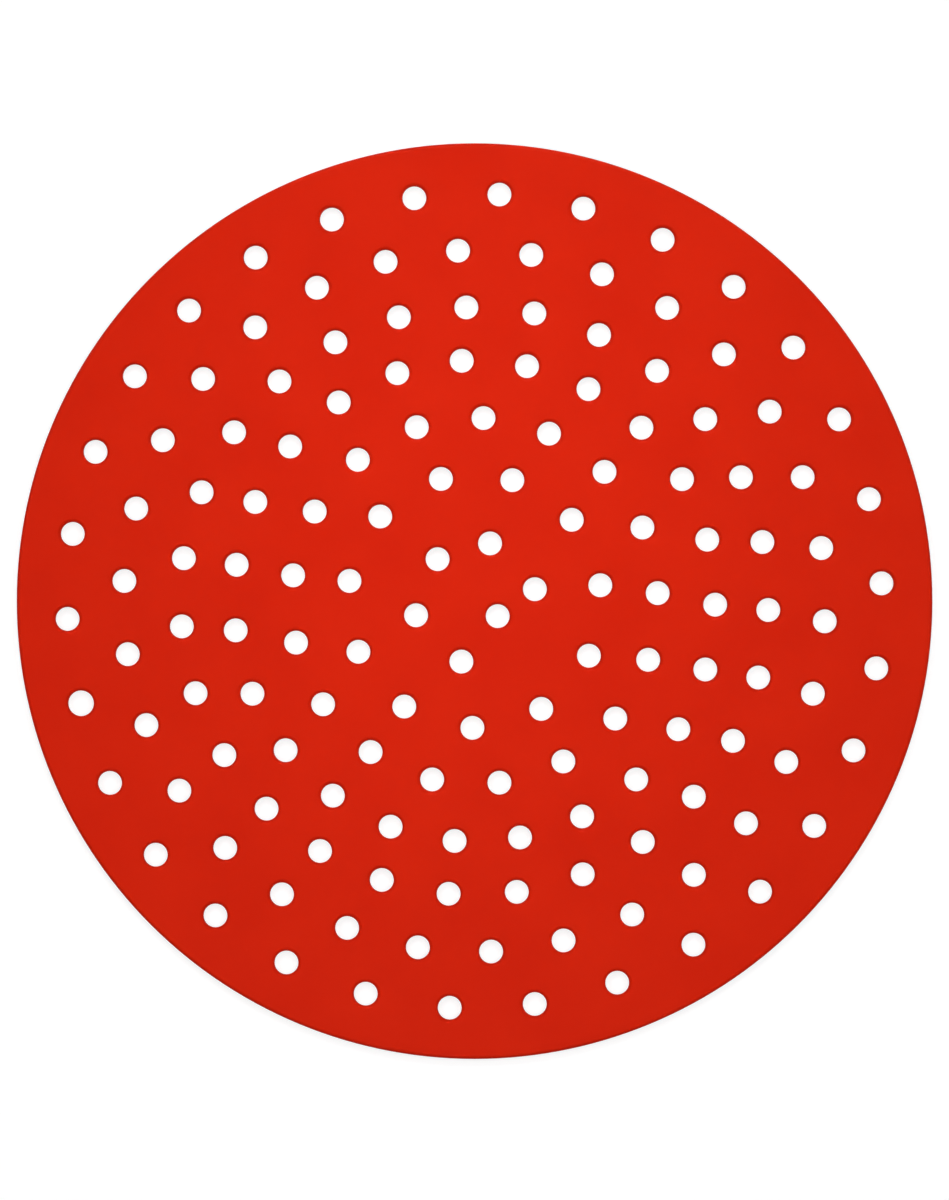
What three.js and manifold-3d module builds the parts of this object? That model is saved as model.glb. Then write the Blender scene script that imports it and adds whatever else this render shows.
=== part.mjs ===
// A round silicone liner for an air fryer basket: one flat moulded sheet with a rounded rim, perforated
// all over so that hot air rises through it and fat drains away. Units are millimetres and degrees.
// +Z is up, the food lies on the top face, and the origin is the centre of the underside.
import * as THREE from "three";
import { mergeVertices } from "three/addons/utils/BufferGeometryUtils.js";
import Module from "manifold-3d";

// Sheet
const DIAMETER = 216;
const THICKNESS = 2.5;
const TOP_ROUNDING = 1; // radius of the rim's upper edge
const UNDERSIDE_ROUNDING = 0.5; // radius of the rim's lower edge

// Vent holes, with a bevel at the top for their rounded mouths
const HOLE_DIAMETER = 5.6;
const MOUTH_BEVEL = 0.65;
const RIM_LAND = 9.1; // plain band between the rim and the outermost holes
const INNER_RING_RADIUS = 29.9;

// Rings of evenly spaced holes, from the innermost out. Start is the angle of a ring's first hole,
// anticlockwise from +X, and nudge moves the ring out of its even step between its neighbours.
const HOLE_RINGS = [
  { holes: 11, start: 7.2, nudge: 0 },
  { holes: 17, start: 2.5, nudge: 0.1 },
  { holes: 23, start: 14.8, nudge: 0.4 },
  { holes: 27, start: 11.6, nudge: -0.3 },
  { holes: 30, start: 8.7, nudge: -0.1 },
  { holes: 30, start: 2.5, nudge: 0 },
];

// The holes of the middle lie unevenly round the centre.
const MIDDLE_HOLES = [
  { radius: 14.5, angle: 11.2 },
  { radius: 14.1, angle: 75 },
  { radius: 13.2, angle: 131.4 },
  { radius: 14.2, angle: 193.6 },
  { radius: 14.6, angle: 257.7 },
  { radius: 6.5, angle: 327 },
];

// Facets
const RIM_FACETS = 96;
const ROUNDING_FACETS = 4;
const HOLE_FACETS = 12;

const SILICONE_RED = new THREE.MeshStandardMaterial({ color: 0xd22510, roughness: 0.5, metalness: 0 });

const wasm = await Module();
wasm.setup();

// A closed three.js geometry as a solid that can be cut.
function solidFrom(geometry) {
  const bare = geometry.clone();
  bare.deleteAttribute("normal");
  bare.deleteAttribute("uv");
  const merged = mergeVertices(bare);
  return new wasm.Manifold(
    new wasm.Mesh({
      numProp: 3,
      vertProperties: new Float32Array(merged.attributes.position.array),
      triVerts: new Uint32Array(merged.index.array),
    }),
  );
}

// A cut solid back as a three.js geometry.
function geometryFrom(solid) {
  const mesh = solid.getMesh();
  const geometry = new THREE.BufferGeometry();
  geometry.setAttribute("position", new THREE.BufferAttribute(mesh.vertProperties, mesh.numProp));
  geometry.setIndex(new THREE.BufferAttribute(mesh.triVerts, 1));
  geometry.computeVertexNormals();
  return geometry;
}

// One half of a section, a path of radius and height that runs from axis to axis, turned round +Z.
function turned(section, facets) {
  const divisions = ROUNDING_FACETS / 2; // a path gives its arcs two facets for each division
  const geometry = new THREE.LatheGeometry(section.getPoints(divisions), facets);
  return geometry.rotateX(Math.PI / 2);
}

// The sheet before it is perforated: the flat underside, its small rounding at the rim, the straight wall,
// and the wider rounding up to the flat top.
function sheetSolid() {
  const radius = DIAMETER / 2;
  const section = new THREE.Path();
  section.moveTo(0, 0);
  section.lineTo(radius - UNDERSIDE_ROUNDING, 0);
  section.absarc(radius - UNDERSIDE_ROUNDING, UNDERSIDE_ROUNDING, UNDERSIDE_ROUNDING, -Math.PI / 2, 0);
  section.absarc(radius - TOP_ROUNDING, THICKNESS - TOP_ROUNDING, TOP_ROUNDING, 0, Math.PI / 2);
  section.lineTo(0, THICKNESS);
  return solidFrom(turned(section, RIM_FACETS));
}

// Every hole's place, as a radius and an angle. Where the sheet gets too small for a ring, or a ring for
// its holes, there are fewer of them, so that the silicone between two holes stays as wide as a hole.
function holePlaces() {
  const closest = 2 * HOLE_DIAMETER;
  const outerRingRadius = (DIAMETER - HOLE_DIAMETER) / 2 - RIM_LAND;
  const reach = outerRingRadius - INNER_RING_RADIUS;
  const rings = HOLE_RINGS.slice(-Math.max(2, 1 + Math.floor(reach / closest)));
  const step = reach / (rings.length - 1);
  const inRings = rings.flatMap(({ holes, start, nudge }, i) => {
    const radius = INNER_RING_RADIUS + i * step + nudge;
    const count = Math.min(holes, Math.floor((2 * Math.PI * radius) / closest));
    return Array.from({ length: count }, (_, k) => ({ radius, angle: start + (k * 360) / count }));
  });
  return [...MIDDLE_HOLES, ...inRings];
}

// One punch, which flares at the mouth and goes on past both faces.
function holePunch({ radius, angle }) {
  const waist = HOLE_DIAMETER / 2;
  const section = new THREE.Path();
  section.moveTo(0, -THICKNESS);
  section.lineTo(waist, -THICKNESS);
  section.lineTo(waist, THICKNESS - MOUTH_BEVEL);
  section.lineTo(waist + MOUTH_BEVEL, THICKNESS);
  section.lineTo(waist + MOUTH_BEVEL, 2 * THICKNESS);
  section.lineTo(0, 2 * THICKNESS);
  const punch = turned(section, HOLE_FACETS).translate(radius, 0, 0);
  return solidFrom(punch.rotateZ(THREE.MathUtils.degToRad(angle)));
}

function perforatedLiner() {
  const cut = (sheet, place) => sheet.subtract(holePunch(place));
  const liner = new THREE.Mesh(geometryFrom(holePlaces().reduce(cut, sheetSolid())), SILICONE_RED);
  liner.name = "perforated_liner";
  return liner;
}

const airFryerLiner = new THREE.Group();
airFryerLiner.add(perforatedLiner());

export default airFryerLiner;
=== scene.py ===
"""A perforated silicone liner for an air fryer basket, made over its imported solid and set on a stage."""

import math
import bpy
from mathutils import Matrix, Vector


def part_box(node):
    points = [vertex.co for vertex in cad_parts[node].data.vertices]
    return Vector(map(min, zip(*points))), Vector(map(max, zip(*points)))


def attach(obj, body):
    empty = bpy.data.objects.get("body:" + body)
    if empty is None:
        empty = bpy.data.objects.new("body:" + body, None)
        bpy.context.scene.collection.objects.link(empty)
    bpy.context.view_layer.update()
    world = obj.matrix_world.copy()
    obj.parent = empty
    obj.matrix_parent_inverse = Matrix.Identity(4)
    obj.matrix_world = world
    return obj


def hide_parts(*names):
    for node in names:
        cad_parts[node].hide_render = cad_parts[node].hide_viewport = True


bl_info = {
    "name": "Air Fryer Liner",
    "version": (1, 0, 0),
    "blender": (4, 5, 0),
    "location": "3D View > Sidebar > Liner",
    "description": "Makes a perforated silicone liner over its packed solid, and a stage to show it on",
    "category": "Add Mesh",
}

from collections import namedtuple
from itertools import accumulate

import bmesh
import bpy
from bpy.props import FloatProperty, FloatVectorProperty, IntProperty, PointerProperty
from mathutils import Vector
from mathutils.geometry import delaunay_2d_cdt

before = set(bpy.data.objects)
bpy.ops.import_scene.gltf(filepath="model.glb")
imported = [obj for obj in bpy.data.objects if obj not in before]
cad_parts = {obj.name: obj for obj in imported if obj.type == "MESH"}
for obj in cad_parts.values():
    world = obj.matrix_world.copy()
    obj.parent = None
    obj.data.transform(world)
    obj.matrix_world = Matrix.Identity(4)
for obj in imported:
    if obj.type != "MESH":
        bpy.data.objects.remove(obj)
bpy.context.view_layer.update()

NODE = "perforated_liner"
MM = 0.001
SILICONE_IOR = 1.41

# The picture that the camera matches, and where the liner's round outline lies in it
PICTURE_PX = (949, 1200)
OUTLINE_CENTRE_PX = (474.57, 601.13)
OUTLINE_DIAMETER_PX = 915.6

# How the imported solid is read, and how the flat faces are filled: with triangles, out to their outline
WELD = 0.001 * MM
FACES_FLAT = 0.999
FILL_TO_OUTLINE = 0

# The map for baking, with the two faces unrolled corner to corner: the radius and middle of the first
BAKE_MAP = "OFBake"
MAP_RADIUS = 0.288
MAP_MIDDLE = 0.292

# The values of the noise between which pigment and sheen change, and the finer layers in each noise
CLOUD_SPAN = (0.35, 0.65)
PATCH_SPAN = (0.3, 0.7)
CLOUD_DETAIL = 6
PATCH_DETAIL = 4
SWELL_DETAIL = 1
GRAIN_DETAIL = 2

# How the stage turns white: the floor's glow rises over these distances from its middle, where the lamps
# reach less far, and the backdrop is white up to one angle above the horizon and dim from another
WHITE = (1, 1, 1, 1)
GLOW_RISES_FROM = 0.2
GLOW_RISES_TO = 2
WHITE_UP_TO = math.radians(8)
CEILING_FROM = math.radians(35)
FLOOR_GAP = 0.05 * MM


class LinerShape(bpy.types.PropertyGroup):
    """Sizes of the liner's fine form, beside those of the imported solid"""

    mouth_rounding: FloatProperty(
        name="Mouth Rounding",
        description="Radius of the rounding from the top face into a vent hole",
        default=1 * MM,
        unit="LENGTH",
    )
    collar: FloatProperty(
        name="Collar",
        description="Width of the flat band of faces beside each rounding",
        default=0.6 * MM,
        unit="LENGTH",
    )
    rounding_steps: IntProperty(
        name="Rounding Steps",
        description="Faces across each rounding",
        default=6,
    )
    hole_segments: IntProperty(
        name="Hole Segments",
        description="Faces round each vent hole",
        default=32,
    )
    rim_segments: IntProperty(
        name="Rim Segments",
        description="Faces round the rim",
        default=240,
    )


class SiliconeFinish(bpy.types.PropertyGroup):
    """Colour and surface of the moulded silicone"""

    pigment: FloatVectorProperty(
        name="Pigment",
        description="Colour of the silicone where the pigment is thin",
        default=(0.66, 0.0152, 0.0012),
        subtype="COLOR",
    )
    deep_pigment: FloatVectorProperty(
        name="Deep Pigment",
        description="Colour of the silicone where the pigment is dense",
        default=(0.63, 0.013, 0.0008),
        subtype="COLOR",
    )
    cloud_size: FloatProperty(
        name="Cloud Size",
        description="Width of the largest clouds in the pigment",
        default=22 * MM,
        unit="LENGTH",
    )
    gloss: FloatProperty(
        name="Gloss",
        description="Strength of the surface's reflections, where 0.5 is that of polished silicone",
        default=0.075,
        subtype="FACTOR",
    )
    roughness: FloatProperty(
        name="Roughness",
        description="Mean roughness of the matte mould finish",
        default=0.5,
        subtype="FACTOR",
    )
    roughness_change: FloatProperty(
        name="Roughness Change",
        description="How far the roughness strays from its mean",
        default=0.06,
        subtype="FACTOR",
    )
    patch_size: FloatProperty(
        name="Patch Size",
        description="Width of the patches in which the roughness changes",
        default=7 * MM,
        unit="LENGTH",
    )
    grain_size: FloatProperty(
        name="Grain Size",
        description="Width of the fine grain that the mould leaves",
        default=0.3 * MM,
        unit="LENGTH",
    )
    grain_depth: FloatProperty(
        name="Grain Depth",
        description="Depth of the fine grain",
        default=0.012 * MM,
        unit="LENGTH",
    )
    swell_size: FloatProperty(
        name="Swell Size",
        description="Width of the faint swells of the soft sheet",
        default=16 * MM,
        unit="LENGTH",
    )
    swell_depth: FloatProperty(
        name="Swell Depth",
        description="Depth of the faint swells",
        default=0.03 * MM,
        unit="LENGTH",
    )


class StageSetting(bpy.types.PropertyGroup):
    """Camera, floor and light"""

    lens: FloatProperty(
        name="Lens",
        description="Focal length of the camera, in millimetres",
        default=200,
        subtype="DISTANCE_CAMERA",
    )
    floor_size: FloatProperty(
        name="Floor Size",
        description="Width of the floor",
        default=40,
        unit="LENGTH",
    )
    floor_colour: FloatVectorProperty(
        name="Floor Colour",
        description="Colour of the pale floor",
        default=(0.25, 0.25, 0.25),
        subtype="COLOR",
    )
    floor_glow: FloatProperty(
        name="Floor Glow",
        description="White that the camera sees on the floor even in a shadow",
        default=0.76,
        subtype="FACTOR",
    )
    floor_shade: FloatProperty(
        name="Floor Shade",
        description="White that a shadow takes away from the floor",
        default=0.3,
        subtype="FACTOR",
    )
    room_light: FloatProperty(
        name="Room Light",
        description="Light that comes from all round",
        default=0.04,
        subtype="FACTOR",
    )
    ceiling: FloatProperty(
        name="Ceiling",
        description="Brightness overhead, beside the white at the horizon",
        default=0.12,
        subtype="FACTOR",
    )
    ring_light: FloatProperty(
        name="Ring Light",
        description="Light of the ring of soft lamps on the liner, where 1 shows white as white",
        default=0.84,
        subtype="FACTOR",
    )
    ring_lamps: IntProperty(
        name="Ring Lamps",
        description="Soft lamps in the ring round the liner",
        default=4,
    )
    lamp_distance: FloatProperty(
        name="Lamp Distance",
        description="From each lamp of the ring to the ring's middle on the floor",
        default=2,
        unit="LENGTH",
    )
    lamp_elevation: FloatProperty(
        name="Lamp Elevation",
        description="Angle at which the ring's lamps stand above the floor",
        default=math.radians(54),
        subtype="ANGLE",
    )
    lamp_size: FloatProperty(
        name="Lamp Size",
        description="Width of each lamp of the ring",
        default=0.7,
        unit="LENGTH",
    )
    ring_shift: FloatProperty(
        name="Ring Shift",
        description="How far the ring of lamps stands off towards the far side",
        default=0.3,
        unit="LENGTH",
    )
    pool_light: FloatProperty(
        name="Pool Light",
        description="Light of the lamp that makes the brighter pool, at the middle of the pool",
        default=0.22,
        subtype="FACTOR",
    )
    pool_place: FloatVectorProperty(
        name="Pool Place",
        description="Middle of the brighter pool",
        default=(0, 33 * MM, 0),
        subtype="TRANSLATION",
    )
    pool_lamp: FloatVectorProperty(
        name="Pool Lamp",
        description="Where the pool's lamp stands, from the middle of the pool",
        default=(0, 0.6, 0.8),
        subtype="TRANSLATION",
    )
    pool_lamp_size: FloatProperty(
        name="Pool Lamp Size",
        description="Width of the pool's lamp",
        default=0.12,
        unit="LENGTH",
    )
    pool_spread: FloatProperty(
        name="Pool Spread",
        description="Angle of the beam of the pool's lamp",
        default=math.radians(16),
        subtype="ANGLE",
    )


def flat_loops(node, facing):
    """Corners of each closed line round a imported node's flat top, or its underside where facing is -1."""
    solid = bmesh.new()
    solid.from_mesh(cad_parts[node].data)
    bmesh.ops.remove_doubles(solid, verts=solid.verts, dist=WELD)
    border = [e for e in solid.edges if sum(f.normal.z * facing > FACES_FLAT for f in e.link_faces) == 1]
    ahead = set(border)
    loops = []
    for edge in border:
        if edge not in ahead:
            continue
        corner = edge.verts[0]
        loop = []
        while edge is not None:
            ahead.remove(edge)
            loop.append(corner.co.copy())
            corner = edge.other_vert(corner)
            edge = next((e for e in corner.link_edges if e in ahead), None)
        loops.append(loop)
    solid.free()
    return loops


Circle = namedtuple("Circle", "middle radius")


def flat_circles(node, facing):
    """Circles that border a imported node's flat top, or its underside where facing is -1, widest first."""
    circles = []
    for loop in flat_loops(node, facing):
        middle = sum(loop, Vector()) / len(loop)
        circles.append(Circle(middle.xy, max((corner - middle).length for corner in loop)))
    return sorted(circles, key=lambda circle: -circle.radius)


SectionPoint = namedtuple("SectionPoint", "radius height lean unrolled")
RoundEdge = namedtuple("RoundEdge", "middle way section segments")


def rounding_steps(radius, shape):
    """Steps from a flat face down over its rounding, each as a way out, a depth and the normal's lean."""
    steps = [(-shape.collar, 0, 0)]
    for i in range(shape.rounding_steps + 1):
        lean = math.pi / 2 * i / shape.rounding_steps
        steps.append((radius * math.sin(lean), radius * (1 - math.cos(lean)), lean))
    return steps


def rounded_section(waist, way, upper, lower, thickness, shape):
    """Points of a rounded edge, from the top face round to the underside.

    The edge stands at the radius waist, between roundings of the radii upper and lower. way is 1 at a rim,
    where the faces turn over outwards, and -1 at a hole. A point's lean is the angle of its normal from
    straight up, and unrolled is its radius with the edge unrolled from the top and from the underside.
    """
    points = []
    for out, depth, lean in rounding_steps(upper, shape):
        points.append((waist - way * (upper - out), thickness - depth, lean))
    for out, depth, lean in reversed(rounding_steps(lower, shape)):
        points.append((waist - way * (lower - out), depth, math.pi - lean))
    strides = (math.dist(here[:2], there[:2]) for here, there in zip(points, points[1:]))
    runs = list(accumulate(strides, initial=0))
    first, last = points[0][0], points[-1][0]
    section = []
    for point, run in zip(points, runs):
        unrolled = (first + way * run, last + way * (runs[-1] - run))
        section.append(SectionPoint(*point, unrolled))
    return section


def liner_edges(shape):
    """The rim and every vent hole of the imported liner, with their roundings, the rim first."""
    low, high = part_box(NODE)
    thickness = high.z - low.z
    reach = (high.x - low.x) / 2
    top = flat_circles(NODE, 1)[0]
    underside, *holes = flat_circles(NODE, -1)
    upper = reach - top.radius
    lower = reach - underside.radius
    section = rounded_section(reach, 1, upper, lower, thickness, shape)
    edges = [RoundEdge(top.middle, 1, section, shape.rim_segments)]
    for hole in holes:
        section = rounded_section(hole.radius, -1, shape.mouth_rounding, lower, thickness, shape)
        edges.append(RoundEdge(hole.middle, -1, section, shape.hole_segments))
    return edges


def directions(segments):
    """Unit vectors evenly round a circle, anticlockwise."""
    turns = (2 * math.pi * k / segments for k in range(segments))
    return [Vector((math.cos(turn), math.sin(turn))) for turn in turns]


class LinerMesh:
    """The liner's surface as it is put together, with each vertex's true normal and unrolled places."""

    def __init__(self, map_scale):
        self.bm = bmesh.new()
        self.map = self.bm.loops.layers.uv.new(BAKE_MAP)
        self.map_scale = map_scale
        self.normals = []
        self.unrolled = {}

    def add_ring(self, edge, point):
        """The vertices at one point of an edge's section, all the way round."""
        ring = []
        for out in directions(edge.segments):
            place = edge.middle + point.radius * out
            vert = self.bm.verts.new((*place, point.height))
            self.normals.append((*(edge.way * math.sin(point.lean) * out), math.cos(point.lean)))
            self.unrolled[vert] = [edge.middle + radius * out for radius in point.unrolled]
            ring.append(vert)
        return ring

    def add_face(self, verts, underside):
        """One face, with its corners on the top's or the underside's half of the map."""
        face = self.bm.faces.new(verts)
        face.smooth = True
        for loop in face.loops:
            x, y = self.unrolled[loop.vert][underside] * self.map_scale
            if underside:
                loop[self.map].uv = (1 - MAP_MIDDLE - x, 1 - MAP_MIDDLE + y)
            else:
                loop[self.map].uv = (MAP_MIDDLE + x, MAP_MIDDLE + y)

    def add_edge(self, edge):
        """A rim's or hole's whole surface. Returns its first and last rings, which border the flat faces."""
        rings = [self.add_ring(edge, point) for point in edge.section]
        for i, (upper, lower) in enumerate(zip(rings, rings[1:])):
            underside = i >= len(rings) // 2
            for k in range(edge.segments):
                near = k - 1
                face = (lower[near], lower[k], upper[k], upper[near])
                self.add_face(face[:: edge.way], underside)
        return rings[0], rings[-1]

    def add_flat(self, borders, underside):
        """The flat top or underside between the rings that border it, the rim's ring first."""
        verts = [vert for ring in borders for vert in ring]
        owner = [i for i, ring in enumerate(borders) for _ in ring]
        lines = []
        for ring in borders:
            first = len(lines)
            count = len(ring)
            lines += [(first + k, first + (k + 1) % count) for k in range(count)]
        places = [vert.co.xy for vert in verts]
        _, _, triangles, sources, _, _ = delaunay_2d_cdt(places, lines, [], FILL_TO_OUTLINE, WELD)
        for triangle in triangles:
            corners = [sources[i][0] for i in triangle]
            owners = {owner[i] for i in corners}
            inside_a_hole = len(owners) == 1 and owners != {0}
            if inside_a_hole:
                continue
            face = [verts[i] for i in corners]
            self.add_face(face[::-1] if underside else face, underside)

    def finished(self, name):
        """The surface as a Blender mesh, shaded with the true normals."""
        mesh = bpy.data.meshes.new(name)
        self.bm.to_mesh(mesh)
        self.bm.free()
        mesh.normals_split_custom_set_from_vertices(self.normals)
        return mesh


def liner_mesh(name, shape):
    """The whole liner: rim, vent holes and the two flat faces."""
    edges = liner_edges(shape)
    rim_section = edges[0].section
    outermost = rim_section[len(rim_section) // 2]
    surface = LinerMesh(MAP_RADIUS / max(outermost.unrolled))
    top_borders, underside_borders = zip(*map(surface.add_edge, edges))
    surface.add_flat(top_borders, False)
    surface.add_flat(underside_borders, True)
    return surface.finished(name)


def add_node(tree, kind, inputs=None, **settings):
    """A new node of a shader tree, with its settings and the values of its inputs."""
    node = tree.nodes.new(kind)
    for name, value in settings.items():
        setattr(node, name, value)
    for name, value in (inputs or {}).items():
        node.inputs[name].default_value = value
    return node


def add_noise(tree, size, detail):
    """Noise with features of this size, fixed to the object."""
    noise = add_node(tree, "ShaderNodeTexNoise", {"Scale": 1 / size, "Detail": detail})
    places = add_node(tree, "ShaderNodeTexCoord")
    tree.links.new(places.outputs["Object"], noise.inputs["Vector"])
    return noise.outputs["Fac"]


def new_material(name):
    """An empty material with its node tree and output node."""
    material = bpy.data.materials.new(name)
    material.use_nodes = True
    material.node_tree.nodes.clear()
    output = add_node(material.node_tree, "ShaderNodeOutputMaterial")
    return material, material.node_tree, output.inputs["Surface"]


def silicone_material(finish):
    """Matte red silicone: clouded pigment, patches of more and less sheen, mould grain and faint swells."""
    material, tree, surface = new_material("red_silicone")
    link = tree.links.new
    skin = add_node(
        tree,
        "ShaderNodeBsdfPrincipled",
        {"IOR": SILICONE_IOR, "Specular IOR Level": finish.gloss},
    )
    link(skin.outputs["BSDF"], surface)

    pigment = add_node(tree, "ShaderNodeValToRGB")
    colours = (finish.pigment, finish.deep_pigment)
    for stop, position, colour in zip(pigment.color_ramp.elements, CLOUD_SPAN, colours):
        stop.position = position
        stop.color = (*colour, 1)
    link(add_noise(tree, finish.cloud_size, CLOUD_DETAIL), pigment.inputs["Fac"])
    link(pigment.outputs["Color"], skin.inputs["Base Color"])

    sheen = add_node(
        tree,
        "ShaderNodeMapRange",
        {
            "From Min": PATCH_SPAN[0],
            "From Max": PATCH_SPAN[1],
            "To Min": finish.roughness - finish.roughness_change,
            "To Max": finish.roughness + finish.roughness_change,
        },
    )
    link(add_noise(tree, finish.patch_size, PATCH_DETAIL), sheen.inputs["Value"])
    link(sheen.outputs["Result"], skin.inputs["Roughness"])

    swells = add_node(tree, "ShaderNodeBump", {"Distance": finish.swell_depth})
    link(add_noise(tree, finish.swell_size, SWELL_DETAIL), swells.inputs["Height"])
    grain = add_node(tree, "ShaderNodeBump", {"Distance": finish.grain_depth})
    link(add_noise(tree, finish.grain_size, GRAIN_DETAIL), grain.inputs["Height"])
    link(swells.outputs["Normal"], grain.inputs["Normal"])
    link(grain.outputs["Normal"], skin.inputs["Normal"])
    return material


def mix_for_sight(tree, lighting, seen):
    """The shader seen for the camera, reflections and glass, and the shader lighting for all other rays."""
    path = add_node(tree, "ShaderNodeLightPath")
    sight = path.outputs["Is Camera Ray"]
    for ray in ("Is Glossy Ray", "Is Transmission Ray"):
        either = add_node(tree, "ShaderNodeMath", operation="MAXIMUM")
        tree.links.new(sight, either.inputs[0])
        tree.links.new(path.outputs[ray], either.inputs[1])
        sight = either.outputs["Value"]
    mixed = add_node(tree, "ShaderNodeMixShader")
    tree.links.new(sight, mixed.inputs["Fac"])
    tree.links.new(lighting, mixed.inputs[1])
    tree.links.new(seen, mixed.inputs[2])
    return mixed.outputs["Shader"]


def floor_material(setting):
    """A pale floor that looks white and still takes the liner's shadow."""
    material, tree, surface = new_material("pale_floor")
    material.cycles.emission_sampling = "NONE"
    plain = add_node(tree, "ShaderNodeBsdfDiffuse", {"Color": (*setting.floor_colour, 1)})
    places = add_node(tree, "ShaderNodeTexCoord")
    distance = add_node(tree, "ShaderNodeVectorMath", operation="LENGTH")
    tree.links.new(places.outputs["Object"], distance.inputs[0])
    rise = add_node(
        tree,
        "ShaderNodeMapRange",
        {
            "From Min": GLOW_RISES_FROM,
            "From Max": GLOW_RISES_TO,
            "To Min": setting.floor_glow,
            "To Max": 1,
        },
        interpolation_type="SMOOTHSTEP",
    )
    tree.links.new(distance.outputs["Value"], rise.inputs["Value"])
    glow = add_node(tree, "ShaderNodeEmission", {"Color": WHITE})
    tree.links.new(rise.outputs["Result"], glow.inputs["Strength"])
    shadowed = [setting.floor_shade] * 3
    shade = add_node(tree, "ShaderNodeBsdfDiffuse", {"Color": (*shadowed, 1)})
    white = add_node(tree, "ShaderNodeAddShader")
    tree.links.new(glow.outputs["Emission"], white.inputs[0])
    tree.links.new(shade.outputs["BSDF"], white.inputs[1])
    tree.links.new(mix_for_sight(tree, plain.outputs["BSDF"], white.outputs["Shader"]), surface)
    return material


def add_object(name, data):
    """A new object in the scene."""
    made = bpy.data.objects.new(name, data)
    bpy.context.scene.collection.objects.link(made)
    return made


def add_floor(setting):
    """The floor, just under the liner."""
    half = setting.floor_size / 2
    mesh = bpy.data.meshes.new("floor")
    corners = [(x * half, y * half, -FLOOR_GAP) for x, y in ((-1, -1), (1, -1), (1, 1), (-1, 1))]
    mesh.from_pydata(corners, [], [(0, 1, 2, 3)])
    mesh.materials.append(floor_material(setting))
    add_object("floor", mesh)


def add_world(setting):
    """A dim room whose backdrop looks white all round at the horizon, and darker overhead."""
    world = bpy.data.worlds.new("backdrop")
    world.use_nodes = True
    tree = world.node_tree
    tree.nodes.clear()
    room = add_node(tree, "ShaderNodeBackground", {"Color": WHITE, "Strength": setting.room_light})
    ways = add_node(tree, "ShaderNodeTexCoord")
    split = add_node(tree, "ShaderNodeSeparateXYZ")
    tree.links.new(ways.outputs["Generated"], split.inputs["Vector"])
    fade = add_node(
        tree,
        "ShaderNodeMapRange",
        {
            "From Min": math.sin(WHITE_UP_TO),
            "From Max": math.sin(CEILING_FROM),
            "To Min": 1,
            "To Max": setting.ceiling,
        },
        interpolation_type="SMOOTHSTEP",
    )
    tree.links.new(split.outputs["Z"], fade.inputs["Value"])
    backdrop = add_node(tree, "ShaderNodeBackground", {"Color": WHITE})
    tree.links.new(fade.outputs["Result"], backdrop.inputs["Strength"])
    output = add_node(tree, "ShaderNodeOutputWorld")
    shown = mix_for_sight(tree, room.outputs["Background"], backdrop.outputs["Background"])
    tree.links.new(shown, output.inputs["Surface"])
    bpy.context.scene.world = world


def spread_gain(spread, width):
    """How much more light a lamp throws where it aims than an open one of the same power.

    spread is the angle of its beam, and width its size for each metre of its distance.
    """
    beam_edge = math.tan(spread / 2)
    narrowing = beam_edge / (beam_edge - spread / 2)
    mean_slant = width / 3
    return narrowing * (1 - mean_slant / beam_edge)


def add_lamp(name, place, aim, level, size, spread=math.pi):
    """A round soft lamp that lights the flat liner at aim to this level, where 1 shows white as white."""
    way = aim - place
    lamp = bpy.data.lights.new(name, "AREA")
    lamp.shape = "DISK"
    lamp.size = size
    lamp.spread = spread
    falling = -way.normalized().z
    gain = spread_gain(spread, size / way.length)
    lamp.energy = level * (math.pi * way.length) ** 2 / falling / gain
    made = add_object(name, lamp)
    made.location = place
    made.rotation_euler = way.to_track_quat("-Z", "Y").to_euler()


def add_lamps(setting):
    """A ring of soft lamps round the liner, and a narrow one on the far side for the brighter pool."""
    reach = setting.lamp_distance * math.cos(setting.lamp_elevation)
    height = setting.lamp_distance * math.sin(setting.lamp_elevation)
    level = setting.ring_light / setting.ring_lamps
    for k, out in enumerate(directions(setting.ring_lamps)):
        place = Vector((reach * out.x, reach * out.y + setting.ring_shift, height))
        add_lamp(f"ring_lamp_{k + 1}", place, Vector(), level, setting.lamp_size)
    pool = Vector(setting.pool_place)
    place = pool + Vector(setting.pool_lamp)
    add_lamp("pool_lamp", place, pool, setting.pool_light, setting.pool_lamp_size, setting.pool_spread)


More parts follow.
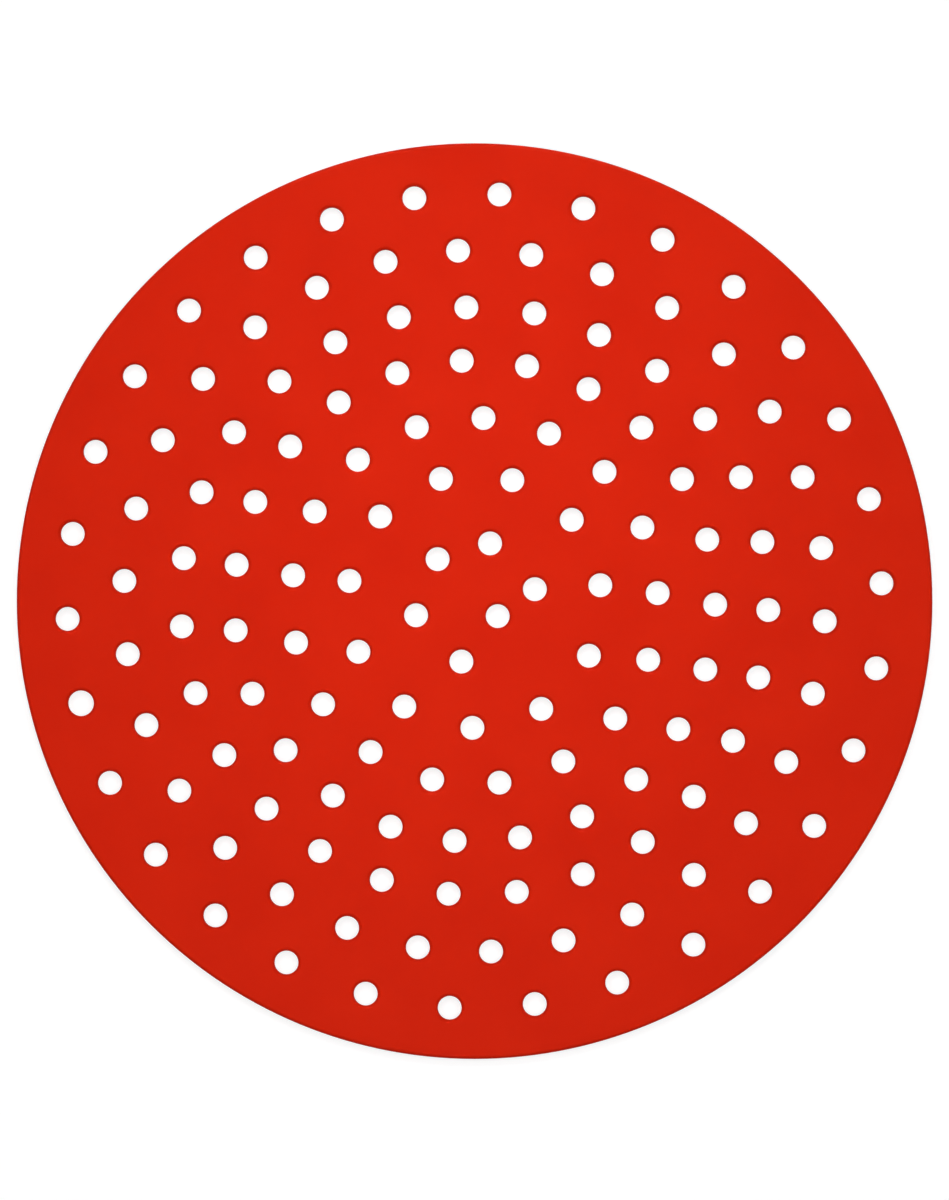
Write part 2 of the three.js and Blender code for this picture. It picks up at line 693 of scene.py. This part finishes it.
def add_camera(setting):
    """A camera straight above the liner that frames it as in the picture."""
    low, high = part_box(NODE)
    pixel = (high.x - low.x) / OUTLINE_DIAMETER_PX
    data = bpy.data.cameras.new("camera")
    data.lens = setting.lens
    longer_side = pixel * max(PICTURE_PX)
    distance = longer_side * data.lens / data.sensor_width
    camera = add_object("camera", data)
    camera.location = (
        (PICTURE_PX[0] / 2 - OUTLINE_CENTRE_PX[0]) * pixel,
        (OUTLINE_CENTRE_PX[1] - PICTURE_PX[1] / 2) * pixel,
        (low.z + high.z) / 2 + distance,
    )
    bpy.context.scene.camera = camera


class LINER_OT_mould(bpy.types.Operator):
    """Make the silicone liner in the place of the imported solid"""

    bl_idname = "liner.mould"
    bl_label = "Mould Liner"

    def execute(self, context):
        mesh = liner_mesh("silicone_liner", context.scene.liner_shape)
        mesh.materials.append(silicone_material(context.scene.liner_finish))
        liner = add_object("silicone_liner", mesh)
        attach(liner, "root")
        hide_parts(NODE)
        return {"FINISHED"}


class LINER_OT_stage(bpy.types.Operator):
    """Set up the floor, backdrop, lamps and camera"""

    bl_idname = "liner.stage"
    bl_label = "Set Stage"

    def execute(self, context):
        setting = context.scene.liner_stage
        add_floor(setting)
        add_world(setting)
        add_lamps(setting)
        add_camera(setting)
        context.scene.view_settings.view_transform = "Standard"
        return {"FINISHED"}


class LINER_PT_sidebar(bpy.types.Panel):
    """The liner's sizes, finish and stage"""

    bl_idname = "LINER_PT_sidebar"
    bl_label = "Air Fryer Liner"
    bl_space_type = "VIEW_3D"
    bl_region_type = "UI"
    bl_category = "Liner"

    def draw(self, context):
        scene = context.scene
        for operator, *groups in (
            (LINER_OT_mould, scene.liner_shape, scene.liner_finish),
            (LINER_OT_stage, scene.liner_stage),
        ):
            box = self.layout.box()
            for group in groups:
                for name in group.__annotations__:
                    box.prop(group, name)
            box.operator(operator.bl_idname)


CLASSES = (LinerShape, SiliconeFinish, StageSetting, LINER_OT_mould, LINER_OT_stage, LINER_PT_sidebar)


def register():
    for cls in CLASSES:
        bpy.utils.register_class(cls)
    bpy.types.Scene.liner_shape = PointerProperty(type=LinerShape)
    bpy.types.Scene.liner_finish = PointerProperty(type=SiliconeFinish)
    bpy.types.Scene.liner_stage = PointerProperty(type=StageSetting)


def unregister():
    del bpy.types.Scene.liner_stage
    del bpy.types.Scene.liner_finish
    del bpy.types.Scene.liner_shape
    for cls in reversed(CLASSES):
        bpy.utils.unregister_class(cls)


def main():
    """Make the liner and its stage."""
    register()
    bpy.ops.liner.mould()
    bpy.ops.liner.stage()


if __name__ == "__main__":
    main()
